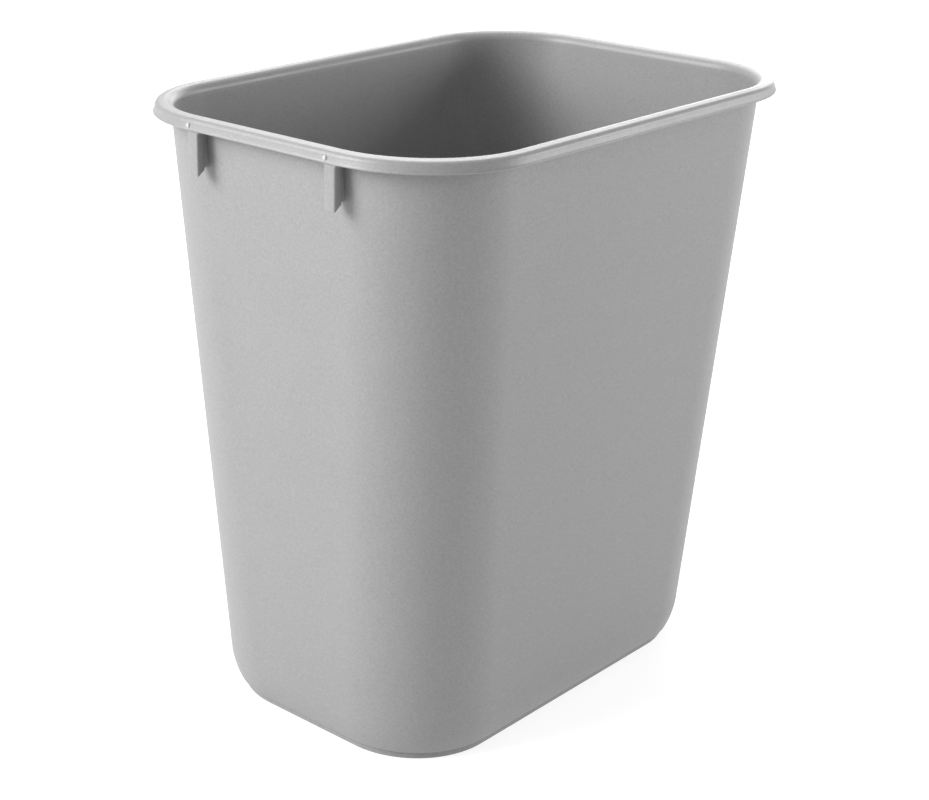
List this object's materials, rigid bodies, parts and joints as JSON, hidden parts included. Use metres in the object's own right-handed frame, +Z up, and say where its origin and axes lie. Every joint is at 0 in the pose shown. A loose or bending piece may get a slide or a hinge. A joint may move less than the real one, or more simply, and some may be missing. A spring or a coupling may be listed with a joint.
{
  "type": "wastebasket",
  "caption": "Tapered rectangular moulded wastebasket with rounded corners, a rolled rim, nesting lugs under the rim and a foot ring.",
  "frame": {"origin": "on the floor, under the middle of the basket", "axes": "+X along the length (the ends with the nesting lugs are -X and +X), +Y across the width, +Z up"},
  "size_m": [0.3658, 0.2602, 0.381],
  "materials": {
    "grey_polyethylene": "fine matte stipple, neutral grey"
  },
  "bodies": {
    "root": {"floor_panel": "grey_polyethylene", "foot_ring": "grey_polyethylene", "front_wall": "grey_polyethylene", "rear_wall": "grey_polyethylene", "right_wall": "grey_polyethylene", "left_wall": "grey_polyethylene", "front_left_corner_wall": "grey_polyethylene", "front_right_corner_wall": "grey_polyethylene", "rear_left_corner_wall": "grey_polyethylene", "rear_right_corner_wall": "grey_polyethylene", "front_rim": "grey_polyethylene", "rear_rim": "grey_polyethylene", "right_rim": "grey_polyethylene", "left_rim": "grey_polyethylene", "front_left_corner_rim": "grey_polyethylene", "front_right_corner_rim": "grey_polyethylene", "rear_left_corner_rim": "grey_polyethylene", "rear_right_corner_rim": "grey_polyethylene", "front_left_nesting_lug": "grey_polyethylene", "front_right_nesting_lug": "grey_polyethylene", "rear_left_nesting_lug": "grey_polyethylene", "rear_right_nesting_lug": "grey_polyethylene", "front_left_rim_nub": "grey_polyethylene", "front_right_rim_nub": "grey_polyethylene", "rear_left_rim_nub": "grey_polyethylene", "rear_right_rim_nub": "grey_polyethylene"}
  },
  "joints": []
}
